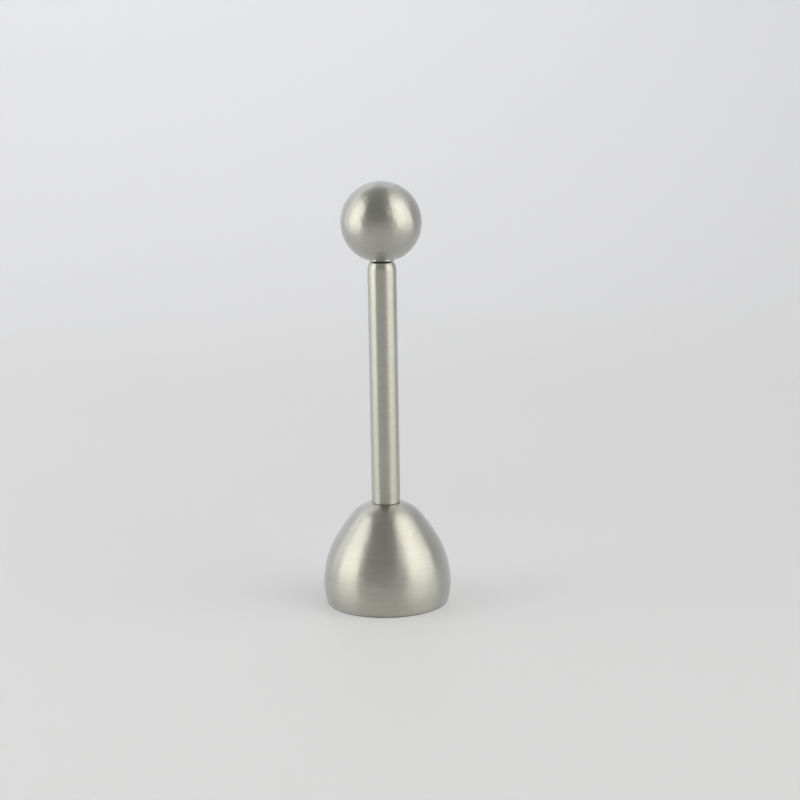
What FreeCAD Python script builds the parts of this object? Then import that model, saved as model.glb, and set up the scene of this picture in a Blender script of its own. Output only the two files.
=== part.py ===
"""Spring-loaded egg topper: a bell on a slim tube, with a ball on a plunger rod.

Pulling the ball lifts the hammer inside the tube against a spring. Let go, the
hammer strikes the anvil above the bell, and the bell's rim cracks the shell.

Millimetres. The origin is the centre of the bell's rim, which the tool stands
on, and +Z runs up the tool's axis to the ball.
"""

import FreeCAD, Part

import math
import os

V = FreeCAD.Vector
V2 = FreeCAD.Base.Vector2d
TURN = 2 * math.pi

# ---- driving dimensions ------------------------------------------------------

# Bell: a deep-drawn cup whose outline is a chain of tangent arcs.
BELL_RADIUS = 20.1          # at its widest
BELL_WIDEST_Z = 6.1         # height of the widest place above the rim
BELL_TUCK_ARC = 19.2        # below the widest place the wall turns back in
BELL_ARCS = ((28.5, 29.0), (54.3, 40.0))  # radius, and slope in degrees at its top
BELL_SHOULDER_ARC = 10.6    # rolls over into the crown
BELL_WALL = 1.2
CROWN_Z = 32.0              # spot-faced land that the tube stands on
CROWN_WALL = 1.3
RIM_LAND = 0.8              # width of the ground rim
RIM_BEVEL_HEIGHT = 0.9      # of the bevel inside it

# Handle tube, with its mouth swaged in round the rod.
TUBE_RADIUS = 4.5
TUBE_WALL = 0.8
MOUTH_Z = 108.2
MOUTH_RADIUS = 3.7
SWAGE_ARC = 4.3             # outside radius of the swaged shoulder
MOUTH_EDGE = 0.15
TUBE_FOOT_CHAMFER = 0.3

# Ball and plunger.
BALL_RADIUS = 12.5
BALL_GAP = 0.28             # left between the ball and the mouth's edge at rest
BALL_FACET_RADIUS = 2.5     # spot face round the tapped hole
BALL_HOLE_DEPTH = 8.5
ROD_RADIUS = 2.0            # threaded M4 at both ends
ROD_ENGAGEMENT = 8.0        # into the ball
THREAD_CHAMFER = 0.5        # on the ends of the rod and the stud
DRILL_TIP_SLOPE = 31.0      # degrees
HAMMER_RADIUS = 3.5
HAMMER_LENGTH = 32.0
HAMMER_HOLE_DEPTH = 14.0
HAMMER_ROD_END = 0.5        # space left under the rod in the hammer's hole
HAMMER_CHAMFER = 0.6
PIN_RADIUS = 0.75
PIN_WALL = 0.3
PIN_LENGTH = 6.4
PIN_BELOW_TOP = 7.0         # from the hammer's top face

# Anvil: pressed into the tube's foot, with an M4 stud down through the crown.
ANVIL_HEIGHT = 10.0
ANVIL_CHAMFER = 0.5
STUD_RADIUS = 2.0
STUD_CLEARANCE = 0.15
STUD_PROUD = 1.0            # stud showing below the nut

# Fasteners under the crown, M4.
WASHER_RADIUS = 4.5
WASHER_THICKNESS = 0.8
WASHER_CLEARANCE = 0.15
LOCK_WASHER_RADIUS = 3.8
LOCK_WASHER_THICKNESS = 0.9
LOCK_WASHER_SLOT = 0.8
LOCK_WASHER_SLANT = 20.0    # degrees
NUT_ACROSS_FLATS = 7.0
NUT_HEIGHT = 3.2
NUT_CHAMFER_SLOPE = 30.0     # degrees

# Guide bush in the tube's mouth, and the seats at the spring's two ends.
BUSH_BOTTOM_Z = 99.0
BUSH_NOSE_ANGLE = 28.0      # how far its nose follows the shoulder, in degrees
BUSH_BORE_CLEARANCE = 0.05
BUSH_CHAMFER = 0.4
SEAT_THICKNESS = 0.6
BLANKED_EDGE = 0.1          # rolled edge of the seats and the plain washer
FIXED_SEAT_RADIUS = 3.6
FIXED_SEAT_BORE = 2.2
MOVING_SEAT_RADIUS = 3.45
MOVING_SEAT_BORE = 2.1

# Spring, closed and ground at both ends.
SPRING_MEAN_RADIUS = 2.9
SPRING_WIRE = 0.7
SPRING_COILS = 9.5
SPRING_CLOSED_COILS = 1.0   # at each end
SPRING_CLOSED_PITCH = 0.72
SPRING_BLEND_COILS = 0.5    # from the closed pitch to the open one
SPRING_GRIND = 0.2          # ground off each end
SPRING_WIRE_SIDES = 8

# ---- places that follow from them --------------------------------------------

TUBE_BORE = TUBE_RADIUS - TUBE_WALL
CROWN_INNER_Z = CROWN_Z - CROWN_WALL
WASHER_Z = CROWN_INNER_Z - WASHER_THICKNESS
LOCK_WASHER_Z = WASHER_Z - LOCK_WASHER_THICKNESS
NUT_Z = LOCK_WASHER_Z - NUT_HEIGHT
STUD_END_Z = NUT_Z - STUD_PROUD

ANVIL_TOP_Z = CROWN_Z + ANVIL_HEIGHT
HAMMER_TOP_Z = ANVIL_TOP_Z + HAMMER_LENGTH
PIN_Z = HAMMER_TOP_Z - PIN_BELOW_TOP
ROD_END_Z = HAMMER_TOP_Z - HAMMER_HOLE_DEPTH + HAMMER_ROD_END
SPRING_BOTTOM_Z = HAMMER_TOP_Z + SEAT_THICKNESS
SPRING_TOP_Z = BUSH_BOTTOM_Z - SEAT_THICKNESS

BALL_Z = MOUTH_Z + BALL_GAP + math.sqrt(BALL_RADIUS**2 - MOUTH_RADIUS**2)
BALL_FACET_Z = BALL_Z - math.sqrt(BALL_RADIUS**2 - BALL_FACET_RADIUS**2)

# ---- outlines in the (radius, height) plane ----------------------------------


def at(radius, height):
    """A point of an outline, which lies in the XZ plane."""
    return V(radius, 0, height)


def polar(centre, radius, angle):
    """The point of a circle at an angle in radians up from the outward direction."""
    return centre + at(radius * math.cos(angle), radius * math.sin(angle))


def arc(centre, radius, start, end):
    """An edge of a circle in the outline's plane, from one angle to another."""
    middle = polar(centre, radius, (start + end) / 2)
    return Part.Arc(polar(centre, radius, start), middle, polar(centre, radius, end)).toShape()


def joined(*pieces):
    """One closed wire through edges and points in order, with straight lines between."""
    edges = []
    first = last = None
    for piece in pieces:
        is_edge = isinstance(piece, Part.Shape)
        start = piece.firstVertex(True).Point if is_edge else piece
        end = piece.lastVertex(True).Point if is_edge else piece
        if last is not None and not start.isEqual(last, 1e-7):
            edges.append(Part.makeLine(last, start))
        if is_edge:
            edges.append(piece)
        first = start if first is None else first
        last = end
    if not last.isEqual(first, 1e-7):
        edges.append(Part.makeLine(last, first))
    return Part.Wire(edges)


def reversed_edge(edge):
    """The same arc, run the other way."""
    first, last = edge.ParameterRange
    middle = edge.valueAt((first + last) / 2)
    return Part.Arc(edge.lastVertex(True).Point, middle, edge.firstVertex(True).Point).toShape()


def turned(*outline):
    """The solid that an outline sweeps round the tool's axis."""
    return Part.Face(joined(*outline)).revolve(V(0, 0, 0), V(0, 0, 1), 360)


def ring(inner, outer, bottom, height, chamfer=0.0):
    """A flat ring with its outer edges chamfered."""
    top = bottom + height
    return turned(
        at(inner, bottom),
        at(outer - chamfer, bottom),
        at(outer, bottom + chamfer),
        at(outer, top - chamfer),
        at(outer - chamfer, top),
        at(inner, top),
    )


# ---- bell and handle ---------------------------------------------------------


def bell_arcs(inset, foot_z, crown_z):
    """The bell's outline between two heights, moved inwards by inset."""
    centre = at(BELL_RADIUS - BELL_TUCK_ARC, BELL_WIDEST_Z)
    tuck = BELL_TUCK_ARC - inset
    arcs = [arc(centre, tuck, math.asin((foot_z - BELL_WIDEST_Z) / tuck), 0)]
    previous = BELL_TUCK_ARC
    slope = 0.0
    for radius, top_slope in BELL_ARCS:
        centre = polar(centre, previous - radius, slope)
        arcs.append(arc(centre, radius - inset, slope, math.radians(top_slope)))
        previous = radius
        slope = math.radians(top_slope)
    centre = polar(centre, previous - BELL_SHOULDER_ARC, slope)
    shoulder = BELL_SHOULDER_ARC - inset
    arcs.append(arc(centre, shoulder, slope, math.asin((crown_z - centre.z) / shoulder)))
    return arcs


def bell_cup():
    """The drawn cup, with a flat crown and a ground rim bevelled on the inside."""
    outside = bell_arcs(0, 0, CROWN_Z)
    inside = bell_arcs(BELL_WALL, RIM_BEVEL_HEIGHT, CROWN_INNER_Z)
    hole = STUD_RADIUS + STUD_CLEARANCE
    return turned(
        *outside,
        at(hole, CROWN_Z),
        at(hole, CROWN_INNER_Z),
        *[reversed_edge(edge) for edge in reversed(inside)],
        outside[0].firstVertex(True).Point - at(RIM_LAND, 0),
    )


def swage(radius, end_angle):
    """The swaged shoulder's arc, from the straight tube up to an angle."""
    centre = at(TUBE_RADIUS - SWAGE_ARC, MOUTH_Z - SWAGE_ARC * math.sin(mouth_angle()))
    return arc(centre, radius, 0, end_angle)


def mouth_angle():
    """The angle at which the shoulder's outside has closed to the mouth's radius."""
    return math.acos((MOUTH_RADIUS - (TUBE_RADIUS - SWAGE_ARC)) / SWAGE_ARC)


def handle_tube():
    """The slim tube, its mouth swaged in and cut square to the wall."""
    outside = swage(SWAGE_ARC, mouth_angle())
    inside = swage(SWAGE_ARC - TUBE_WALL, mouth_angle())
    tube = turned(
        at(TUBE_BORE, CROWN_Z),
        at(TUBE_RADIUS - TUBE_FOOT_CHAMFER, CROWN_Z),
        at(TUBE_RADIUS, CROWN_Z + TUBE_FOOT_CHAMFER),
        outside,
        reversed_edge(inside),
    )
    return tube.makeFillet(MOUTH_EDGE, round_edges(tube, outside.lastVertex(True).Point))


def round_edges(solid, point):
    """The circular edges of a turned solid that pass through an outline's point."""
    found = []
    for edge in solid.Edges:
        circle = edge.Curve
        if not isinstance(circle, Part.Circle):
            continue
        if abs(circle.Radius - point.x) < 1e-6 and abs(circle.Center.z - point.z) < 1e-6:
            found.append(edge)
    return found


def guide_bush():
    """The rod's bush, seated up inside the swaged shoulder."""
    bore = ROD_RADIUS + BUSH_BORE_CLEARANCE
    nose = swage(SWAGE_ARC - TUBE_WALL, math.radians(BUSH_NOSE_ANGLE))
    top = nose.lastVertex(True).Point
    return turned(
        at(bore, BUSH_BOTTOM_Z),
        at(TUBE_BORE - BUSH_CHAMFER, BUSH_BOTTOM_Z),
        at(TUBE_BORE, BUSH_BOTTOM_Z + BUSH_CHAMFER),
        nose,
        at(bore, top.z),
    )


def fixed_spring_seat():
    """The washer between the bush and the spring's upper end."""
    return ring(FIXED_SEAT_BORE, FIXED_SEAT_RADIUS, SPRING_TOP_Z, SEAT_THICKNESS, BLANKED_EDGE)


def anvil():
    """The plug that the hammer strikes, and its stud through the bell's crown."""
    return turned(
        at(0, STUD_END_Z),
        at(STUD_RADIUS - THREAD_CHAMFER, STUD_END_Z),
        at(STUD_RADIUS, STUD_END_Z + THREAD_CHAMFER),
        at(STUD_RADIUS, CROWN_Z),
        at(TUBE_BORE, CROWN_Z),
        at(TUBE_BORE, ANVIL_TOP_Z - ANVIL_CHAMFER),
        at(TUBE_BORE - ANVIL_CHAMFER, ANVIL_TOP_Z),
        at(0, ANVIL_TOP_Z),
    )


def crown_washer():
    """The plain washer under the crown."""
    bore = STUD_RADIUS + WASHER_CLEARANCE
    return ring(bore, WASHER_RADIUS, WASHER_Z, WASHER_THICKNESS, BLANKED_EDGE)


def lock_washer():
    """The split spring washer, with its slanting slot."""
    washer = ring(
        STUD_RADIUS + STUD_CLEARANCE / 2, LOCK_WASHER_RADIUS, LOCK_WASHER_Z, LOCK_WASHER_THICKNESS
    )
    slot = Part.makeBox(
        2 * LOCK_WASHER_RADIUS,
        LOCK_WASHER_SLOT,
        3 * LOCK_WASHER_THICKNESS,
        V(0, -LOCK_WASHER_SLOT / 2, -1.5 * LOCK_WASHER_THICKNESS),
    )
    slot.rotate(V(0, 0, 0), V(1, 0, 0), LOCK_WASHER_SLANT)
    slot.translate(V(0, 0, LOCK_WASHER_Z + LOCK_WASHER_THICKNESS / 2))
    return washer.cut(slot)


def lock_nut():
    """The hexagon nut, chamfered on both faces."""
    flat = NUT_ACROSS_FLATS / 2
    corner = flat / math.cos(TURN / 12)
    corners = []
    for i in range(7):
        angle = i * TURN / 6
        corners.append(V(corner * math.cos(angle), corner * math.sin(angle), NUT_Z))
    hexagon = Part.Face(Part.makePolygon(corners)).extrude(V(0, 0, NUT_HEIGHT))
    drop = (corner - flat) * math.tan(math.radians(NUT_CHAMFER_SLOPE))
    top = NUT_Z + NUT_HEIGHT
    envelope = turned(
        at(0, NUT_Z),
        at(flat, NUT_Z),
        at(corner, NUT_Z + drop),
        at(corner, top - drop),
        at(flat, top),
        at(0, top),
    )
    bore = Part.makeCylinder(STUD_RADIUS, NUT_HEIGHT, V(0, 0, NUT_Z))
    return hexagon.common(envelope).cut(bore)


# ---- plunger -----------------------------------------------------------------


def ball_knob():
    """The solid ball, spot-faced and tapped from below for the rod."""
    centre = at(0, BALL_Z)
    facet_angle = math.asin((BALL_FACET_Z - BALL_Z) / BALL_RADIUS)
    drill_tip = ROD_RADIUS * math.tan(math.radians(DRILL_TIP_SLOPE))
    hole_top = BALL_FACET_Z + BALL_HOLE_DEPTH
    return turned(
        at(ROD_RADIUS, BALL_FACET_Z),
        arc(centre, BALL_RADIUS, facet_angle, math.pi / 2),
        at(0, hole_top + drill_tip),
        at(ROD_RADIUS, hole_top),
    )


def hammer():
    """The sliding weight on the rod's lower end, cross-drilled for its pin."""
    hole_z = HAMMER_TOP_Z - HAMMER_HOLE_DEPTH
    body = turned(
        at(0, ANVIL_TOP_Z),
        at(HAMMER_RADIUS - HAMMER_CHAMFER, ANVIL_TOP_Z),
        at(HAMMER_RADIUS, ANVIL_TOP_Z + HAMMER_CHAMFER),
        at(HAMMER_RADIUS, HAMMER_TOP_Z - HAMMER_CHAMFER),
        at(HAMMER_RADIUS - HAMMER_CHAMFER, HAMMER_TOP_Z),
        at(ROD_RADIUS, HAMMER_TOP_Z),
        at(ROD_RADIUS, hole_z),
        at(0, hole_z),
    )
    return body.cut(cross_hole())


def cross_hole():
    """The drilling for the pin, right through the hammer and the rod."""
    reach = HAMMER_RADIUS + 1
    return Part.makeCylinder(PIN_RADIUS, 2 * reach, V(-reach, 0, PIN_Z), V(1, 0, 0))


def plunger_rod():
    """The rod from inside the hammer, up through the bush, into the ball."""
    top = BALL_FACET_Z + ROD_ENGAGEMENT
    rod = turned(
        at(0, ROD_END_Z),
        at(ROD_RADIUS - THREAD_CHAMFER, ROD_END_Z),
        at(ROD_RADIUS, ROD_END_Z + THREAD_CHAMFER),
        at(ROD_RADIUS, top - THREAD_CHAMFER),
        at(ROD_RADIUS - THREAD_CHAMFER, top),
        at(0, top),
    )
    return rod.cut(cross_hole())


def hammer_pin():
    """The slotted spring pin that stops the hammer from working loose."""
    start = V(-PIN_LENGTH / 2, 0, PIN_Z)
    along = V(1, 0, 0)
    pin = Part.makeCylinder(PIN_RADIUS, PIN_LENGTH, start, along)
    pin = pin.cut(Part.makeCylinder(PIN_RADIUS - PIN_WALL, PIN_LENGTH, start, along))
    slot = Part.makeBox(PIN_LENGTH, PIN_WALL, 2 * PIN_RADIUS, start - V(0, PIN_WALL / 2, 0))
    return pin.cut(slot)


def moving_spring_seat():
    """The washer that rides on the hammer and carries the spring's lower end."""
    return ring(MOVING_SEAT_BORE, MOVING_SEAT_RADIUS, HAMMER_TOP_Z, SEAT_THICKNESS, BLANKED_EDGE)


# ---- spring ------------------------------------------------------------------


def spring_rise(slope, closed_slope):
    """Rise of the coils at a slope in mm per radian, and the blends' radius.

    The coil is drawn unrolled: straight lines for the closed and the open
    pitches, joined by arcs that are tangent to both.
    """
    low, high = math.atan(closed_slope), math.atan(slope)
    blend = SPRING_BLEND_COILS * TURN / (math.sin(high) - math.sin(low))
    open_coils = SPRING_COILS - 2 * SPRING_CLOSED_COILS - 2 * SPRING_BLEND_COILS
    closed = 2 * SPRING_CLOSED_COILS * TURN * closed_slope
    blended = 2 * blend * (math.cos(low) - math.cos(high))
    return closed + blended + open_coils * TURN * slope, blend


def open_slope(rise, closed_slope):
    """The open coils' slope that makes the whole spring fit its height."""
    low, high = closed_slope * 1.001, 1.0
    for _ in range(50):
        middle = (low + high) / 2
        if spring_rise(middle, closed_slope)[0] < rise:
            low = middle
        else:
            high = middle
    return low


def spring_path():
    """The wire's centre line, as edges drawn on the cylinder that it winds round."""
    bottom = SPRING_BOTTOM_Z + SPRING_WIRE / 2 - SPRING_GRIND
    top = SPRING_TOP_Z - SPRING_WIRE / 2 + SPRING_GRIND
    closed_slope = SPRING_CLOSED_PITCH / TURN
    slope = open_slope(top - bottom, closed_slope)
    blend = spring_rise(slope, closed_slope)[1]
    low, high = math.atan(closed_slope), math.atan(slope)
    open_coils = SPRING_COILS - 2 * SPRING_CLOSED_COILS - 2 * SPRING_BLEND_COILS

    wound_on = Part.Cylinder()
    wound_on.Radius = SPRING_MEAN_RADIUS
    edges = []

    def straight(start, coils, rise):
        end = V2(start.x + coils * TURN, start.y + coils * TURN * rise)
        edges.append(Part.Geom2d.Line2dSegment(start, end).toShape(wound_on))
        return end

    def blended(start, centre, first, last, end_angle):
        circle = Part.Geom2d.Circle2d(centre, blend)
        edges.append(Part.Geom2d.ArcOfCircle2d(circle, first, last).toShape(wound_on))
        return V2(centre.x + blend * math.cos(end_angle), centre.y + blend * math.sin(end_angle))

    quarter = math.pi / 2
    place = straight(V2(0, bottom), SPRING_CLOSED_COILS, closed_slope)
    centre = V2(place.x - blend * math.sin(low), place.y + blend * math.cos(low))
    place = blended(place, centre, low - quarter, high - quarter, high - quarter)
    place = straight(place, open_coils, slope)
    centre = V2(place.x + blend * math.sin(high), place.y - blend * math.cos(high))
    place = blended(place, centre, low + quarter, high + quarter, low + quarter)
    straight(place, SPRING_CLOSED_COILS, closed_slope)
    return Part.Wire(Part.__sortEdges__(edges))


def wire_section(centre, along):
    """The wire's section, a polygon of the round wire's own area."""
    half = TURN / SPRING_WIRE_SIDES / 2
    area_factor = math.sqrt(half / (math.sin(half) * math.cos(half)))
    radius = SPRING_WIRE / 2 * area_factor
    outward = V(1, 0, 0)
    across = along.cross(outward)
    corners = []
    for i in range(SPRING_WIRE_SIDES + 1):
        angle = (2 * i + 1) * half
        corner = outward * math.cos(angle) + across * math.sin(angle)
        corners.append(centre + corner * radius)
    return Part.makePolygon(corners)


def return_spring():
    """The compression spring, its closed end coils ground flat."""
    path = spring_path()
    bottom = SPRING_BOTTOM_Z + SPRING_WIRE / 2 - SPRING_GRIND
    start = V(SPRING_MEAN_RADIUS, 0, bottom)
    along = V(0, SPRING_MEAN_RADIUS, SPRING_CLOSED_PITCH / TURN).normalize()
    sweep = Part.BRepOffsetAPI.MakePipeShell(path)
    sweep.setBiNormalMode(V(0, 0, 1))
    sweep.add(wire_section(start, along))
    sweep.build()
    sweep.makeSolid()
    ground = Part.makeCylinder(TUBE_RADIUS, SPRING_TOP_Z - SPRING_BOTTOM_Z, V(0, 0, SPRING_BOTTOM_Z))
    return sweep.shape().common(ground)


# ---- output ------------------------------------------------------------------

SUB_PARTS = (
    bell_cup,
    handle_tube,
    guide_bush,
    fixed_spring_seat,
    anvil,
    crown_washer,
    lock_washer,
    lock_nut,
    ball_knob,
    plunger_rod,
    hammer,
    hammer_pin,
    moving_spring_seat,
    return_spring,
)


def only_solid(shape, name):
    """The one solid in a shape, checked."""
    if len(shape.Solids) != 1 or not shape.Solids[0].isValid():
        raise ValueError(f"{name} isn't one valid solid")
    return shape.Solids[0]


os.makedirs("parts", exist_ok=True)
for make in SUB_PARTS:
    name = make.__name__
    solid = only_solid(make(), name)
    solid.exportStep(f"parts/{name}.step")
    box = solid.BoundBox
    print(f"{name:20s} z {box.ZMin:7.2f} to {box.ZMax:7.2f}  {solid.Volume:9.1f} mm3")
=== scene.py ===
"""The looks of a spring-loaded egg topper: satin steel bell, tube and ball."""

import math

import bmesh
import bpy
from mathutils import Matrix, Vector


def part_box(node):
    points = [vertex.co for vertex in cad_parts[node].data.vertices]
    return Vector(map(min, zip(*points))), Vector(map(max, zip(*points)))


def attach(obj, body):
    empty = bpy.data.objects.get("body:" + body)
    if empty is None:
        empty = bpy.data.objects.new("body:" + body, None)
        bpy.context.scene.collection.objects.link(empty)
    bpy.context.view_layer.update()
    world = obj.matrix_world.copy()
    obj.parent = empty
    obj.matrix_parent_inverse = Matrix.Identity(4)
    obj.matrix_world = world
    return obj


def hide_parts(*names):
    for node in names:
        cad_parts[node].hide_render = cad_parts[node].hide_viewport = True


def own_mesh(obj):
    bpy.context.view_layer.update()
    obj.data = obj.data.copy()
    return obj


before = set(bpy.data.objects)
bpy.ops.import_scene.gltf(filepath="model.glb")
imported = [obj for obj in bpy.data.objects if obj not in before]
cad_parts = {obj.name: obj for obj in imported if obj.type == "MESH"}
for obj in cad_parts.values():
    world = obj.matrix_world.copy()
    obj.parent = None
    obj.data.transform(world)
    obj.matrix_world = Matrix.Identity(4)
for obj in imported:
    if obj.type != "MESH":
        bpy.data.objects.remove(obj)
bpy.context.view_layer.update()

MM = 0.001
TURN = 2 * math.pi
QUARTER_TURN = math.pi / 2

# ---- sizes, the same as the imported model's ------------------------------------

BELL_RADIUS = 20.1 * MM
BELL_WIDEST_Z = 6.1 * MM
BELL_TUCK_ARC = 19.2 * MM
# The belly's arcs from the bottom up: radius, and the slope in degrees at the arc's top.
BELL_ARCS = ((28.5 * MM, 29.0), (54.3 * MM, 40.0))
BELL_SHOULDER_ARC = 10.6 * MM
BELL_WALL = 1.2 * MM
CROWN_WALL = 1.3 * MM
CROWN_HOLE = 2.15 * MM
RIM_LAND = 0.8 * MM
RIM_BEVEL_HEIGHT = 0.9 * MM
RIM_ROUND = 0.35 * MM
BELL_EASE = 0.12 * MM

TUBE_RADIUS = 4.5 * MM
TUBE_WALL = 0.8 * MM
MOUTH_RADIUS = 3.7 * MM
SWAGE_ARC = 4.3 * MM
TUBE_FOOT_CHAMFER = 0.3 * MM
TUBE_EASE = 0.1 * MM

BALL_RADIUS = 12.5 * MM
BALL_FACET_RADIUS = 2.5 * MM
BALL_HOLE_RADIUS = 2.0 * MM
BALL_HOLE_DEPTH = 8.5 * MM

ANVIL_CHAMFER = 0.5 * MM
STUD_RADIUS = 2.0 * MM
THREAD_CHAMFER = 0.5 * MM
THREAD_PITCH = 0.7 * MM
THREAD_DEPTH = 0.4 * MM
THREAD_GROOVE = 0.84 * THREAD_PITCH

SPRING_MEAN_RADIUS = 2.9 * MM
SPRING_WIRE = 0.7 * MM
SPRING_COILS = 9.5
SPRING_CLOSED_COILS = 1.0
SPRING_CLOSED_PITCH = 0.72 * MM
SPRING_BLEND_COILS = 0.5
SPRING_GRIND = 0.2 * MM

CROWN_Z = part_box("handle_tube")[0].z
MOUTH_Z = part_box("handle_tube")[1].z
BALL_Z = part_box("ball_knob")[1].z - BALL_RADIUS
STUD_END_Z, ANVIL_TOP_Z = (corner.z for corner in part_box("anvil"))
NUT_TOP_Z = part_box("lock_nut")[1].z
SPRING_BOTTOM_Z, SPRING_TOP_Z = (corner.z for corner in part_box("return_spring"))

# ---- how finely the pieces are cut --------------------------------------------

BELL_SIDES = 256
BELL_ARC_STEPS = 20
RIM_ROUND_STEPS = 8
TUBE_SIDES = 160
SWAGE_STEPS = 16
BALL_SIDES = 192
BALL_STEPS = 96
STUD_SIDES = 96
THREAD_RINGS = 96
WIRE_SIDES = 16
POINTS_PER_COIL = 48
EASE_STEPS = 3
# Edges that turn by more than these degrees are eased, or shaded as sharp.
EASED_ANGLE = 30
TURNED_CREASE = 40
FINISHED_CREASE = 50

# ---- writing node trees -------------------------------------------------------


class Nodes:
    """A node tree that is easy to write into."""

    def __init__(self, tree):
        self.tree = tree

    def add(self, kind, inputs=None, **settings):
        """A new node with its settings, and its inputs joined or given a value."""
        node = self.tree.nodes.new(kind)
        for name, value in settings.items():
            setattr(node, name, value)
        for name, value in (inputs or {}).items():
            self.put(node.inputs[name], value)
        return node

    def put(self, socket, value):
        """Joins an input to another node's output, or gives it a value."""
        if isinstance(value, bpy.types.NodeSocket):
            self.tree.links.new(value, socket)
        else:
            socket.default_value = value

    def math(self, operation, *values):
        """The result of a sum or another operation on values and outputs."""
        node = self.add("ShaderNodeMath", dict(enumerate(values)), operation=operation)
        return node.outputs[0]

    def part_way(self, value, start, end, smooth=False):
        """How far a value is on its way from start to end, from 0 to 1."""
        kind = "SMOOTHSTEP" if smooth else "LINEAR"
        node = self.add("ShaderNodeMapRange", {0: value, 1: start, 2: end}, interpolation_type=kind)
        return node.outputs[0]

    def blend(self, share, first, second):
        """A colour that goes from the first to the second as share goes from 0 to 1."""
        node = self.add("ShaderNodeMix", {0: share, 6: first, 7: second}, data_type="RGBA")
        return node.outputs[2]


def new_group(name, inputs, outputs):
    """A shader node group, given its inputs' defaults. One without a default is a vector."""
    tree = bpy.data.node_groups.new(name, "ShaderNodeTree")
    for label, default in inputs.items():
        kind = "NodeSocketVector" if default is None else "NodeSocketFloat"
        socket = tree.interface.new_socket(label, in_out="INPUT", socket_type=kind)
        if default is not None:
            socket.default_value = default
    for label in outputs:
        tree.interface.new_socket(label, in_out="OUTPUT", socket_type="NodeSocketFloat")
    nodes = Nodes(tree)
    return nodes, nodes.add("NodeGroupInput").outputs, nodes.add("NodeGroupOutput").inputs


def new_material(name):
    """A material, its nodes and its shader."""
    material = bpy.data.materials.new(name)
    material.use_nodes = True
    tree = material.node_tree
    return material, Nodes(tree), tree.nodes["Principled BSDF"]


def opaque(colour, share=1.0):
    """A colour with its alpha, made lighter or darker by a share."""
    return tuple(part * share for part in colour) + (1.0,)


# ---- outlines and meshes ------------------------------------------------------


def polar(centre, radius, angle):
    """The point of a circle in the (radius, height) plane."""
    return (centre[0] + radius * math.cos(angle), centre[1] + radius * math.sin(angle))


def arc(centre, radius, start, end, steps):
    """Points along an arc, both ends among them."""
    return [polar(centre, radius, start + (end - start) * i / steps) for i in range(steps + 1)]


def link(name, data):
    """An object of the scene for a mesh, lamp or camera."""
    item = bpy.data.objects.new(name, data)
    bpy.context.scene.collection.objects.link(item)
    return item


def smooth(mesh, crease):
    """Shades a mesh smooth, but for edges that turn by more than the crease in degrees."""
    mesh.polygons.foreach_set("use_smooth", [True] * len(mesh.polygons))
    mesh.set_sharp_from_angle(angle=math.radians(crease))


def finished(piece):
    """The piece with its modifiers turned into plain mesh."""
    bpy.context.view_layer.update()
    shown = piece.evaluated_get(bpy.context.evaluated_depsgraph_get())
    mesh = bpy.data.meshes.new_from_object(shown)
    piece.modifiers.clear()
    piece.data = mesh
    smooth(mesh, FINISHED_CREASE)
    return piece


def turned(name, outline, sides):
    """A closed piece turned round Z from a closed outline of (radius, height)."""
    mesh = bpy.data.meshes.new(name)
    bm = bmesh.new()
    turns = [TURN * i / sides for i in range(sides)]
    rings = []
    for radius, height in outline:
        if radius == 0:
            rings.append([bm.verts.new((0, 0, height))] * sides)
        else:
            places = [(radius * math.cos(a), radius * math.sin(a), height) for a in turns]
            rings.append([bm.verts.new(place) for place in places])
    for ring, following in zip(rings, rings[1:] + rings[:1]):
        for i in range(sides):
            j = (i + 1) % sides
            corners = dict.fromkeys((ring[i], ring[j], following[j], following[i]))
            if len(corners) > 2:
                bm.faces.new(corners)
    bmesh.ops.recalc_face_normals(bm, faces=bm.faces)
    bm.to_mesh(mesh)
    bm.free()
    smooth(mesh, TURNED_CREASE)
    return link(name, mesh)


def eased(piece, width):
    """The piece with its sharp edges broken by a small round."""
    bevel = piece.modifiers.new("ease", "BEVEL")
    bevel.width = width
    bevel.segments = EASE_STEPS
    bevel.limit_method = "ANGLE"
    bevel.angle_limit = math.radians(EASED_ANGLE)
    return finished(piece)


# ---- turned pieces ------------------------------------------------------------


def bell_outline(inset, foot_z, crown_z):
    """The bell's chain of tangent arcs between two heights, moved inwards by inset."""
    centre = (BELL_RADIUS - BELL_TUCK_ARC, BELL_WIDEST_Z)
    tuck = BELL_TUCK_ARC - inset
    points = arc(centre, tuck, math.asin((foot_z - BELL_WIDEST_Z) / tuck), 0, BELL_ARC_STEPS)
    previous, slope = BELL_TUCK_ARC, 0.0
    for radius, top_slope in BELL_ARCS:
        centre = polar(centre, previous - radius, slope)
        top = math.radians(top_slope)
        points += arc(centre, radius - inset, slope, top, BELL_ARC_STEPS)[1:]
        previous, slope = radius, top
    centre = polar(centre, previous - BELL_SHOULDER_ARC, slope)
    shoulder = BELL_SHOULDER_ARC - inset
    top = math.asin((crown_z - centre[1]) / shoulder)
    return points + arc(centre, shoulder, slope, top, BELL_ARC_STEPS)[1:]


def bell_piece():
    """The drawn bell: rounded rim, flat land, bevel inside, and the hole in its crown."""
    rim = bell_outline(0, 0, CROWN_Z)[0][0]
    outside = bell_outline(0, RIM_ROUND, CROWN_Z)
    rounding = (outside[0][0] - RIM_ROUND, RIM_ROUND)
    edge = arc(rounding, RIM_ROUND, -QUARTER_TURN, 0, RIM_ROUND_STEPS)[:-1]
    inside = bell_outline(BELL_WALL, RIM_BEVEL_HEIGHT, CROWN_Z - CROWN_WALL)
    land = [(rim - RIM_LAND, 0)]
    hole = [(CROWN_HOLE, CROWN_Z), (CROWN_HOLE, CROWN_Z - CROWN_WALL)]
    outline = edge + outside + hole + inside[::-1] + land
    return eased(turned("bell", outline, BELL_SIDES), BELL_EASE)


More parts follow.
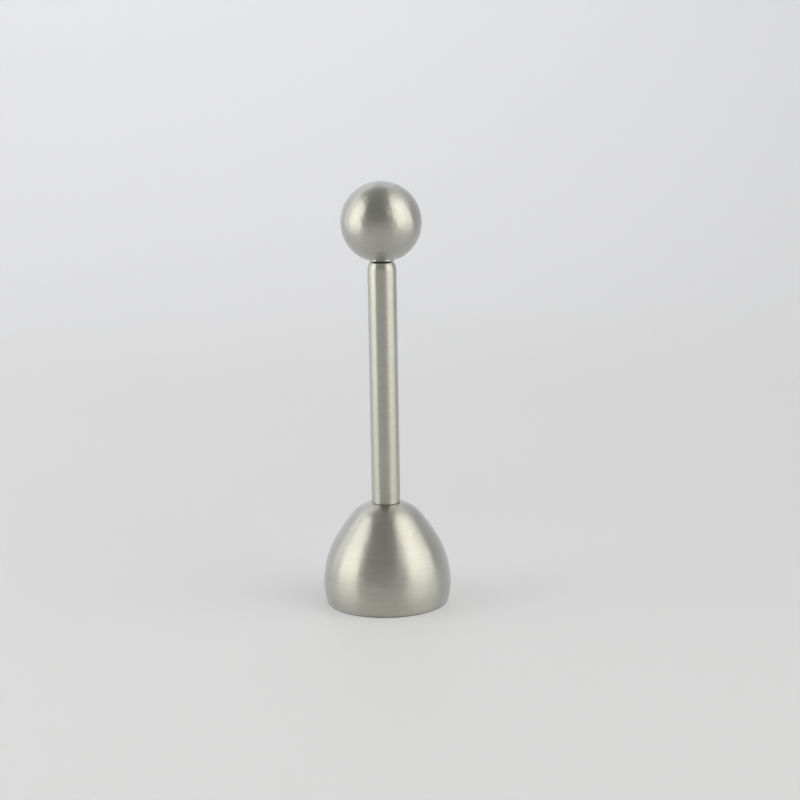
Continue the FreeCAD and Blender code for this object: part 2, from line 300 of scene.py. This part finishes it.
def tube_piece():
    """The handle: a straight tube with its mouth swaged in on an arc."""
    across = TUBE_RADIUS - SWAGE_ARC
    closing = math.acos((MOUTH_RADIUS - across) / SWAGE_ARC)
    centre = (across, MOUTH_Z - SWAGE_ARC * math.sin(closing))
    outside = arc(centre, SWAGE_ARC, 0, closing, SWAGE_STEPS)
    inside = arc(centre, SWAGE_ARC - TUBE_WALL, 0, closing, SWAGE_STEPS)
    foot = [
        (TUBE_RADIUS - TUBE_WALL, CROWN_Z),
        (TUBE_RADIUS - TUBE_FOOT_CHAMFER, CROWN_Z),
        (TUBE_RADIUS, CROWN_Z + TUBE_FOOT_CHAMFER),
    ]
    return eased(turned("tube", foot + outside + inside[::-1], TUBE_SIDES), TUBE_EASE)


def ball_piece():
    """The pull: a ball with a facet underneath, drilled for the rod."""
    centre = (0, BALL_Z)
    facet = -math.acos(BALL_FACET_RADIUS / BALL_RADIUS)
    facet_z = polar(centre, BALL_RADIUS, facet)[1]
    hole_top = facet_z + BALL_HOLE_DEPTH
    outline = [(BALL_HOLE_RADIUS, facet_z)]
    outline += arc(centre, BALL_RADIUS, facet, QUARTER_TURN, BALL_STEPS)[:-1]
    outline += [(0, BALL_Z + BALL_RADIUS), (0, hole_top), (BALL_HOLE_RADIUS, hole_top)]
    return turned("ball", outline, BALL_SIDES)


def anvil_piece():
    """The plug that the hammer strikes, with its threaded stud."""
    bore = TUBE_RADIUS - TUBE_WALL
    root = STUD_RADIUS - THREAD_CHAMFER
    threaded = NUT_TOP_Z - STUD_END_Z
    outline = [(0, STUD_END_Z), (root, STUD_END_Z)]
    for i in range(1, THREAD_RINGS + 1):
        outline.append((STUD_RADIUS, STUD_END_Z + threaded * i / THREAD_RINGS))
    outline += [(STUD_RADIUS, CROWN_Z), (bore, CROWN_Z), (bore, ANVIL_TOP_Z - ANVIL_CHAMFER)]
    outline += [(bore - ANVIL_CHAMFER, ANVIL_TOP_Z), (0, ANVIL_TOP_Z)]
    piece = turned("anvil_and_stud", outline, STUD_SIDES)
    for vertex in piece.data.vertices:
        x, y, z = vertex.co
        if not STUD_END_Z < z < NUT_TOP_Z:
            continue
        along = ((z - STUD_END_Z) / THREAD_PITCH - math.atan2(y, x) / TURN) % 1
        from_root = THREAD_PITCH * abs(along - 0.5)
        groove = THREAD_DEPTH * max(0, 1 - from_root / (THREAD_GROOVE / 2))
        radius = min(STUD_RADIUS - groove, root + z - STUD_END_Z)
        vertex.co = (x * radius / STUD_RADIUS, y * radius / STUD_RADIUS, z)
    smooth(piece.data, TURNED_CREASE)
    return piece


# ---- spring -------------------------------------------------------------------


def coil_spring_tree():
    """Winds a round wire into a spring with closed coils at both ends, ground flat."""
    tree = bpy.data.node_groups.new("coil_spring", "GeometryNodeTree")
    kinds = {"Points Per Coil": "NodeSocketInt", "Material": "NodeSocketMaterial"}
    names = ("Mean Radius", "Wire Radius", "Coils", "Closed Coils", "Blend Coils", "Closed Pitch",
             "Bottom", "Top", "Grind", "Points Per Coil", "Material")
    for name in names:
        kind = kinds.get(name, "NodeSocketFloat")
        tree.interface.new_socket(name, in_out="INPUT", socket_type=kind)
    tree.interface.new_socket("Geometry", in_out="OUTPUT", socket_type="NodeSocketGeometry")
    nodes = Nodes(tree)
    given = nodes.add("NodeGroupInput").outputs
    last = nodes.add("NodeGroupOutput").inputs[0]

    # A straight line with a point for each step along the wire.
    points = nodes.math("MULTIPLY", given["Coils"], given["Points Per Coil"])
    count = nodes.math("ADD", points, 1.0)
    line = nodes.add("GeometryNodeCurvePrimitiveLine").outputs[0]
    line = nodes.add("GeometryNodeResampleCurve", {"Curve": line, "Count": count}).outputs[0]

    # The turns wound up to a point, and the share of the open rise that lies below it.
    index = nodes.add("GeometryNodeInputIndex").outputs[0]
    turns = nodes.math("DIVIDE", index, given["Points Per Coil"])
    from_end = nodes.math("MINIMUM", turns, nodes.math("SUBTRACT", given["Coils"], turns))
    blend_end = nodes.math("ADD", given["Closed Coils"], given["Blend Coils"])
    opened = nodes.part_way(from_end, given["Closed Coils"], blend_end, smooth=True)
    sums = nodes.add("GeometryNodeAccumulateField", {0: opened}).outputs
    both_sides = nodes.math("ADD", sums["Leading"], sums["Trailing"])
    share = nodes.math("MULTIPLY", nodes.math("DIVIDE", both_sides, sums["Total"]), 0.5)

    # The height of the wire's middle.
    lift = nodes.math("SUBTRACT", given["Wire Radius"], given["Grind"])
    length = nodes.math("SUBTRACT", given["Top"], given["Bottom"])
    rise = nodes.math("SUBTRACT", length, nodes.math("MULTIPLY", lift, 2.0))
    closed_length = nodes.math("MULTIPLY", given["Closed Pitch"], given["Coils"])
    open_rise = nodes.math("SUBTRACT", rise, closed_length)
    closed_rise = nodes.math("MULTIPLY", given["Closed Pitch"], turns)
    height = nodes.math("ADD", nodes.math("ADD", given["Bottom"], lift), closed_rise)
    height = nodes.math("MULTIPLY_ADD", open_rise, share, height)

    # The wire wound round the axis.
    angle = nodes.math("MULTIPLY", turns, TURN)
    wound = nodes.add("ShaderNodeCombineXYZ", {
        "X": nodes.math("MULTIPLY", nodes.math("COSINE", angle), given["Mean Radius"]),
        "Y": nodes.math("MULTIPLY", nodes.math("SINE", angle), given["Mean Radius"]),
        "Z": height,
    })
    helix = nodes.add("GeometryNodeSetPosition", {"Geometry": line, "Position": wound.outputs[0]})
    section = nodes.add("GeometryNodeCurvePrimitiveCircle", {
        "Resolution": WIRE_SIDES, "Radius": given["Wire Radius"],
    })
    wire = nodes.add("GeometryNodeCurveToMesh", {
        "Curve": helix.outputs[0], "Profile Curve": section.outputs[0], "Fill Caps": True,
    })

    # Its two ends ground flat.
    position = nodes.add("GeometryNodeInputPosition").outputs[0]
    point = nodes.add("ShaderNodeSeparateXYZ", {0: position}).outputs
    above = nodes.math("MAXIMUM", point["Z"], given["Bottom"])
    between = nodes.math("MINIMUM", above, given["Top"])
    flat = nodes.add("ShaderNodeCombineXYZ", {"X": point["X"], "Y": point["Y"], "Z": between})
    ground = nodes.add("GeometryNodeSetPosition", {
        "Geometry": wire.outputs[0], "Position": flat.outputs[0],
    })

    real = nodes.add("GeometryNodeRealizeInstances", {"Geometry": ground.outputs[0]})
    painted = nodes.add("GeometryNodeSetMaterial", {
        "Geometry": real.outputs[0], "Material": given["Material"],
    })
    nodes.put(last, painted.outputs[0])
    return tree


def spring_piece(material):
    """The return spring between its two seats."""
    values = {
        "Mean Radius": SPRING_MEAN_RADIUS,
        "Wire Radius": SPRING_WIRE / 2,
        "Coils": SPRING_COILS,
        "Closed Coils": SPRING_CLOSED_COILS,
        "Blend Coils": SPRING_BLEND_COILS,
        "Closed Pitch": SPRING_CLOSED_PITCH,
        "Bottom": SPRING_BOTTOM_Z,
        "Top": SPRING_TOP_Z,
        "Grind": SPRING_GRIND,
        "Points Per Coil": POINTS_PER_COIL,
        "Material": material,
    }
    piece = link("spring", bpy.data.meshes.new("spring"))
    winding = piece.modifiers.new("winding", "NODES")
    winding.node_group = coil_spring_tree()
    for item in winding.node_group.interface.items_tree:
        if item.in_out == "INPUT":
            winding[item.identifier] = values[item.name]
    return finished(piece)


# ---- finishes -----------------------------------------------------------------


def turning_marks_group():
    """Fine streaks that run round the axis, as a turned and brushed piece has.

    They lie above one another by height, or with Fan at 1 by the angle from a centre on the
    axis. Marks is how many there are in a metre, and Streaks how often one breaks off.
    """
    nodes, given, out = new_group(
        "turning_marks",
        {"Position": None, "Centre Height": 0.0, "Fan": 0.0, "Fan Radius": 0.02,
         "Marks": 1100.0, "Streaks": 2.5, "Contrast": 1.0},
        ("Height", "Shade"),
    )
    split = nodes.add("ShaderNodeSeparateXYZ", {0: given["Position"]}).outputs
    flat = nodes.add("ShaderNodeCombineXYZ", {"X": split["X"], "Y": split["Y"]}).outputs[0]
    radius = nodes.add("ShaderNodeVectorMath", {0: flat}, operation="LENGTH").outputs["Value"]
    unit = nodes.add("ShaderNodeVectorMath", {0: flat}, operation="NORMALIZE").outputs["Vector"]
    height = nodes.math("SUBTRACT", split["Z"], given["Centre Height"])
    fanned = nodes.math("MULTIPLY", nodes.math("ARCTAN2", height, radius), given["Fan Radius"])
    along = nodes.add("ShaderNodeMix", {0: given["Fan"], 2: height, 3: fanned}).outputs[0]
    around = nodes.add(
        "ShaderNodeVectorMath", {0: unit, "Scale": given["Streaks"]}, operation="SCALE")
    ring = nodes.add("ShaderNodeSeparateXYZ", {0: around.outputs["Vector"]}).outputs
    marks = nodes.math("MULTIPLY", along, given["Marks"])
    place = nodes.add("ShaderNodeCombineXYZ", {"X": ring["X"], "Y": ring["Y"], "Z": marks})
    streaks = nodes.add("ShaderNodeTexNoise", {
        "Vector": place.outputs[0], "Scale": 1.0, "Detail": 4.0, "Roughness": 0.65,
    }).outputs[0]
    centred = nodes.math("SUBTRACT", streaks, 0.5)
    shade = nodes.math("MULTIPLY", centred, given["Contrast"])
    nodes.put(out["Height"], nodes.math("ADD", shade, 0.5))
    nodes.put(out["Shade"], shade)
    return nodes.tree


def handling_group():
    """Soft cloudy patches, as polishing by hand and wiping leave on bare steel.

    Fineness is how many of them there are in a metre.
    """
    nodes, given, out = new_group(
        "handling", {"Position": None, "Fineness": 90.0}, ("Shade", "Wave"))
    cloud = nodes.add("ShaderNodeTexNoise", {
        "Vector": given["Position"], "Scale": given["Fineness"], "Detail": 3.0,
        "Roughness": 0.55,
    }).outputs[0]
    finer = nodes.math("MULTIPLY", given["Fineness"], 3.0)
    wave = nodes.add("ShaderNodeTexNoise", {
        "Vector": given["Position"], "Scale": finer, "Detail": 1.0, "Roughness": 0.5,
    }).outputs[0]
    nodes.put(out["Shade"], nodes.math("SUBTRACT", cloud, 0.5))
    nodes.put(out["Wave"], wave)
    return nodes.tree


TURNING_MARKS = turning_marks_group()
HANDLING = handling_group()

BELL_STEEL = (0.484, 0.482, 0.421)
TUBE_STEEL = (0.545, 0.546, 0.476)
BALL_STEEL = (0.45, 0.45, 0.396)
ROD_STEEL = (0.55, 0.545, 0.52)
HARD_STEEL = (0.30, 0.29, 0.28)
FASTENER_STEEL = (0.5, 0.49, 0.46)
ACETAL = (0.02, 0.02, 0.021)

# A painted reflection: bluish grey blended into the steel's colour where it is seen edge on.
PAINTED_EDGE_REFLECTION = (0.46, 0.465, 0.49)
PAINTED_REFLECTION_FALLOFF = 2.0
STREAK_TONE = 0.1
STREAK_CONTRAST = 1.6
ROUGHNESS_CHANGE = 0.16
BRUSH_RELIEF = 6.0
RELIEF_UNIT = 0.001 * MM
# A quarter turn stretches the highlight across the brush marks.
HIGHLIGHT_TURN = 0.25
POLISH = 0.6
POLISH_ROUGHNESS = 0.1

# Below a height on the ball the surface is smoother, and its colour is raised to a painted reflection
# of the tube's bright shoulder.
SHOULDER_REFLECTION_PAINT = (0.72, 0.72, 0.66)
POLISH_AND_PAINT_FADE = 0.9 * MM
BRIGHT_SMOOTHING = 0.8
BALL_POLISHED_AND_PAINTED_BELOW = BALL_Z - 0.83 * BALL_RADIUS

BELL_FAN = {"Centre Height": 6 * MM, "Fan": 1.0, "Fan Radius": 22 * MM}
BALL_FAN = {"Centre Height": BALL_Z, "Fan": 1.0, "Fan Radius": BALL_RADIUS, "Contrast": 0.75}
FINE_MARKS = {"Marks": 6000.0}

GRAIN_SCALE = 4000.0
GRAIN_TONE = 0.2
GRAIN_ROUGHNESS = 0.1


def steel_colour(nodes, colour, streaks):
    """The steel's colour, streaked by the brush, and blended towards a painted bluish-grey reflection
    where it is seen edge on.
    """
    share = nodes.math("MULTIPLY_ADD", streaks, STREAK_CONTRAST, 0.5)
    streaked = nodes.blend(share, opaque(colour, 1 - STREAK_TONE), opaque(colour, 1 + STREAK_TONE))
    facing = nodes.add("ShaderNodeLayerWeight", {"Blend": 0.5}).outputs["Facing"]
    painted_reflection_share = nodes.math("POWER", facing, PAINTED_REFLECTION_FALLOFF)
    return nodes.blend(painted_reflection_share, streaked, opaque(PAINTED_EDGE_REFLECTION))


def satin_steel(name, colour, roughness, anisotropy=0.4, marks=None, wave_depth=60.0,
                fineness=90.0, polished_and_painted_below=None):
    """Stainless steel, brushed round the axis, with a clear polish over the brush marks.

    The depth of the waves is in thousandths of a millimetre, and a higher fineness makes
    waves and patches smaller. Below the given height the surface is smoother, and its colour
    is raised towards a brighter steel: a painted reflection of the tube's shoulder.
    """
    material, nodes, shader = new_material(name)
    position = nodes.add("ShaderNodeTexCoord").outputs["Object"]
    brushed = nodes.add(
        "ShaderNodeGroup", {"Position": position, **(marks or {})}, node_tree=TURNING_MARKS).outputs
    handled = nodes.add(
        "ShaderNodeGroup", {"Position": position, "Fineness": fineness}, node_tree=HANDLING).outputs

    tone = steel_colour(nodes, colour, brushed["Shade"])
    rough = nodes.math("MULTIPLY_ADD", brushed["Shade"], ROUGHNESS_CHANGE, roughness)
    rough = nodes.math("MULTIPLY_ADD", handled["Shade"], ROUGHNESS_CHANGE, rough)
    if polished_and_painted_below is not None:
        height = nodes.add("ShaderNodeSeparateXYZ", {0: position}).outputs["Z"]
        polished_and_painted_share = nodes.part_way(height, polished_and_painted_below, polished_and_painted_below - POLISH_AND_PAINT_FADE)
        # Painted reflection: the colour is raised towards a brighter steel below the height.
        tone = nodes.blend(polished_and_painted_share, tone, opaque(SHOULDER_REFLECTION_PAINT))
        smoothing = nodes.math("MULTIPLY", polished_and_painted_share, BRIGHT_SMOOTHING)
        rough = nodes.math("MULTIPLY", rough, nodes.math("SUBTRACT", 1.0, smoothing))
    nodes.put(shader.inputs["Base Color"], tone)
    nodes.put(shader.inputs["Roughness"], rough)

    shader.inputs["Metallic"].default_value = 1.0
    shader.inputs["Coat Weight"].default_value = POLISH
    shader.inputs["Coat Roughness"].default_value = POLISH_ROUGHNESS
    shader.inputs["Anisotropic"].default_value = anisotropy
    shader.inputs["Anisotropic Rotation"].default_value = HIGHLIGHT_TURN
    tangent = nodes.add("ShaderNodeTangent", direction_type="RADIAL", axis="Z")
    nodes.put(shader.inputs["Tangent"], tangent.outputs[0])

    relief = nodes.math("MULTIPLY", handled["Wave"], wave_depth)
    relief = nodes.math("MULTIPLY_ADD", brushed["Height"], BRUSH_RELIEF, relief)
    bump = nodes.add("ShaderNodeBump", {"Strength": 1.0, "Distance": RELIEF_UNIT, "Height": relief})
    nodes.put(shader.inputs["Normal"], bump.outputs[0])
    return material


def plain_plastic(name, colour, roughness):
    """Moulded acetal with a very fine grain."""
    material, nodes, shader = new_material(name)
    position = nodes.add("ShaderNodeTexCoord").outputs["Object"]
    grain = nodes.add("ShaderNodeTexNoise", {"Vector": position, "Scale": GRAIN_SCALE, "Detail": 2.0})
    grain = grain.outputs[0]
    tone = nodes.blend(grain, opaque(colour, 1 - GRAIN_TONE), opaque(colour, 1 + GRAIN_TONE))
    rough = nodes.math("MULTIPLY_ADD", grain, GRAIN_ROUGHNESS, roughness)
    nodes.put(shader.inputs["Base Color"], tone)
    nodes.put(shader.inputs["Roughness"], rough)
    return material


bell_steel = satin_steel("bell_satin", BELL_STEEL, 0.365, 0.8, BELL_FAN, wave_depth=85.0)
tube_steel = satin_steel("tube_satin", TUBE_STEEL, 0.37, 0.95)
ball_steel = satin_steel("ball_satin", BALL_STEEL, 0.33, 0.66, BALL_FAN, wave_depth=150.0,
                         fineness=110.0, polished_and_painted_below=BALL_POLISHED_AND_PAINTED_BELOW)
rod_steel = satin_steel("rod_polished", ROD_STEEL, 0.12, marks=FINE_MARKS)
dark_steel = satin_steel("hardened_steel", HARD_STEEL, 0.3)
plain_steel = satin_steel("fastener_steel", FASTENER_STEEL, 0.25, 0.0)
acetal = plain_plastic("black_acetal", ACETAL, 0.4)

# ---- dressing the frame -------------------------------------------------------


def dress(piece, material, body, node):
    """Gives a made piece its material and body, and hides the node that it stands for."""
    piece.data.materials.clear()
    piece.data.materials.append(material)
    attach(piece, body)
    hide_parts(node)


dress(bell_piece(), bell_steel, "bell_and_handle", "bell_cup")
dress(tube_piece(), tube_steel, "bell_and_handle", "handle_tube")
dress(ball_piece(), ball_steel, "plunger", "ball_knob")
dress(anvil_piece(), dark_steel, "bell_and_handle", "anvil")
spring = spring_piece(plain_steel)
dress(spring, plain_steel, "bell_and_handle", "return_spring")
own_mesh(spring)

CAD_MATERIALS = {
    "guide_bush": acetal,
    "fixed_spring_seat": plain_steel,
    "moving_spring_seat": plain_steel,
    "hammer": dark_steel,
    "hammer_pin": dark_steel,
    "crown_washer": plain_steel,
    "lock_washer": plain_steel,
    "lock_nut": plain_steel,
    "plunger_rod": rod_steel,
}
for node, material in CAD_MATERIALS.items():
    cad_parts[node].data.materials.clear()
    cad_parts[node].data.materials.append(material)

# ---- stage --------------------------------------------------------------------

PAPER = (0.51, 0.514, 0.524)
PAPER_ROUGHNESS = 0.55
PAPER_SHINE = 0.3
PAPER_GLOW = 0.258
CONTACT_SHADE = 0.8 * MM
SHADED_PAPER = (0.05, 0.05, 0.05)

FLOOR_REACH = 8.0
FLOOR_STRIPS = 20
WALL_Y = 1.1
WALL_TOP = 2.4
BEND_RADIUS = 0.5
BEND_STRIPS = 24


def stage_paper():
    """Pale paper that glows for the eye and in mirrors, but not within a hair of the steel, where
    mirrors see it painted dark as a contact shadow.
    """
    material, nodes, shader = new_material("sweep_paper")
    path = nodes.add("ShaderNodeLightPath").outputs
    clear = nodes.part_way(path["Ray Length"], 0.0, CONTACT_SHADE)
    mirrored = nodes.math("MULTIPLY", path["Is Glossy Ray"], clear)
    seen = nodes.math("MAXIMUM", path["Is Camera Ray"], mirrored)
    seen = nodes.math("MAXIMUM", seen, path["Is Transmission Ray"])
    # Paper mirrored from within CONTACT_SHADE of the steel is painted dark: a painted contact shadow.
    painted_contact_shadow = nodes.math("SUBTRACT", path["Is Glossy Ray"], mirrored)
    tone = nodes.blend(painted_contact_shadow, opaque(PAPER), opaque(SHADED_PAPER))
    nodes.put(shader.inputs["Base Color"], tone)
    nodes.put(shader.inputs["Emission Strength"], nodes.math("MULTIPLY", seen, PAPER_GLOW))
    shader.inputs["Emission Color"].default_value = (1, 1, 1, 1)
    shader.inputs["Roughness"].default_value = PAPER_ROUGHNESS
    shader.inputs["Specular IOR Level"].default_value = PAPER_SHINE
    return material


def make_stage():
    """A pale seamless sweep: floor, a wide bend and a wall behind."""
    flat = FLOOR_REACH + WALL_Y - BEND_RADIUS
    line = [(-FLOOR_REACH + flat * i / FLOOR_STRIPS, 0.0) for i in range(FLOOR_STRIPS + 1)]
    bend = (WALL_Y - BEND_RADIUS, BEND_RADIUS)
    line += arc(bend, BEND_RADIUS, -QUARTER_TURN, 0, BEND_STRIPS)[1:]
    line.append((WALL_Y, WALL_TOP))
    verts = [(x, y, z) for y, z in line for x in (-FLOOR_REACH, FLOOR_REACH)]
    faces = [(2 * i, 2 * i + 1, 2 * i + 3, 2 * i + 2) for i in range(len(line) - 1)]
    mesh = bpy.data.meshes.new("sweep")
    mesh.from_pydata(verts, [], faces)
    mesh.polygons.foreach_set("use_smooth", [True] * len(faces))
    mesh.materials.append(stage_paper())
    sweep = link("sweep", mesh)


# ---- light --------------------------------------------------------------------

LEFT_WARMTH = (1.015, 1.0, 0.94)
RIGHT_WARMTH = (1.03, 1.0, 0.93)

SCREEN_DISTANCE = 0.6
SCREEN_STEP = 0.01
SCREEN_OVERLAP = 0.0023
# Screens beside the object, each a step further out than the one before. Each is a pair of
# lamps, one that faces in and one that faces out, which overlap a little so that the floor
# has no edge under them: name, side, front, back, bottom and top in metres, and radiance.
SCREENS = (
    ("left_screen", -1, -0.40, 0.10, 0.002, 0.85, 1.05),
    ("left_veil", -1, -0.40, 0.40, 0.002, 0.85, 0.60),
    ("right_screen", 1, -0.65, -0.15, 0.002, 1.30, 0.33),
    ("right_low", 1, -0.65, 0.10, 0.002, 0.85, 0.30),
    ("right_veil", 1, -0.90, 0.10, 0.002, 1.70, 0.60),
    ("right_high", 1, -1.30, 0.40, 0.50, 2.10, 0.48),
)

# Lamps that light the wall and its bend: name, place, the way that the back faces, width
# and height in metres, radiance and colour.
WALL_LAMPS = (
    ("backdrop_lamp", (-0.9, 0.3, 1.6), (0, -1, 0.12), 3.6, 0.5, 4.2, (1, 1, 1)),
    ("bend_lamp", (-0.6, 0.55, 0.7), (0, -0.95, 0.31), 1.8, 0.3, 1.3, (0.93, 0.94, 1.03)),
)

# The room's own light: for each side that it comes from, the axis, its sign and the strength.
ROOM = ((1, -1, 0.27), (1, 1, 0.60), (0, -1, 0.35), (0, 1, 0.76), (2, 1, 0.34))
ROOM_FALLOFF = 2.0
HORIZON = 0.10
HORIZON_FALLOFF = 4.0


def area_lamp(name, place, back, width, height, radiance, colour):
    """A rectangle of even radiance whose back faces along a direction."""
    data = bpy.data.lights.new(name, "AREA")
    data.shape = "RECTANGLE"
    data.size = width
    data.size_y = height
    data.energy = radiance * math.pi * width * height
    data.color = colour
    lamp = link(name, data)
    lamp.location = place
    lamp.rotation_euler = Vector(back).to_track_quat("Z", "Y").to_euler()
    lamp.visible_camera = False


def make_screens():
    """Lit screens left and right of the object, which make the bright bands in the steel."""
    for step, (name, side, front, back, bottom, top, radiance) in enumerate(SCREENS):
        out = side * (SCREEN_DISTANCE + step * SCREEN_STEP)
        middle = Vector((out, (front + back) / 2, (bottom + top) / 2))
        warmth = LEFT_WARMTH if side < 0 else RIGHT_WARMTH
        size = (back - front, top - bottom)
        area_lamp(name, middle, (side, 0, 0), *size, radiance, warmth)
        middle.x -= side * SCREEN_OVERLAP
        area_lamp(name + "_outward", middle, (-side, 0, 0), *size, radiance, warmth)


def make_room():
    """A dim room, brighter behind and to the right, with a faint glow at the horizon."""
    world = bpy.data.worlds.new("room")
    bpy.context.scene.world = world
    world.use_nodes = True
    nodes = Nodes(world.node_tree)
    way = nodes.add("ShaderNodeTexCoord").outputs["Generated"]
    split = nodes.add("ShaderNodeSeparateXYZ", {0: way}).outputs
    room = 0.0
    for axis, sign, strength in ROOM:
        toward = nodes.math("MAXIMUM", nodes.math("MULTIPLY", split[axis], sign), 0.0)
        lobe = nodes.math("POWER", toward, ROOM_FALLOFF)
        room = nodes.math("MULTIPLY_ADD", lobe, strength, room)
    level = nodes.math("SUBTRACT", 1.0, nodes.math("ABSOLUTE", split["Z"]))
    glow = nodes.math("POWER", level, HORIZON_FALLOFF)
    room = nodes.math("MULTIPLY_ADD", glow, HORIZON, room)
    nodes.put(world.node_tree.nodes["Background"].inputs["Color"], room)


# ---- camera -------------------------------------------------------------------

CAMERA_DISTANCE = 0.6092
CAMERA_HEIGHT = 0.1944
CAMERA_PITCH = math.radians(12.02)
CAMERA_YAW = math.radians(-0.46)
CAMERA_ROLL = math.radians(0.95)
CAMERA_LENS = 90.0
CAMERA_SENSOR = 36.0


def make_camera():
    """A long lens a little above the object, rolled slightly as a held camera is."""
    data = bpy.data.cameras.new("camera")
    data.lens = CAMERA_LENS
    data.sensor_width = CAMERA_SENSOR
    camera = link("camera", data)
    ahead = Vector((-math.sin(CAMERA_YAW), math.cos(CAMERA_YAW), 0))
    level_right = Vector((math.cos(CAMERA_YAW), math.sin(CAMERA_YAW), 0))
    view = ahead * math.cos(CAMERA_PITCH) - Vector((0, 0, math.sin(CAMERA_PITCH)))
    level_up = ahead * math.sin(CAMERA_PITCH) + Vector((0, 0, math.cos(CAMERA_PITCH)))
    right = level_right * math.cos(CAMERA_ROLL) - level_up * math.sin(CAMERA_ROLL)
    up = level_right * math.sin(CAMERA_ROLL) + level_up * math.cos(CAMERA_ROLL)
    turn = Matrix((right, up, -view)).transposed().to_4x4()
    camera.matrix_world = Matrix.Translation((0, -CAMERA_DISTANCE, CAMERA_HEIGHT)) @ turn
    bpy.context.scene.camera = camera


make_stage()
make_screens()
for lamp in WALL_LAMPS:
    area_lamp(*lamp)
make_room()
make_camera()
bpy.context.scene.view_settings.view_transform = "Standard"
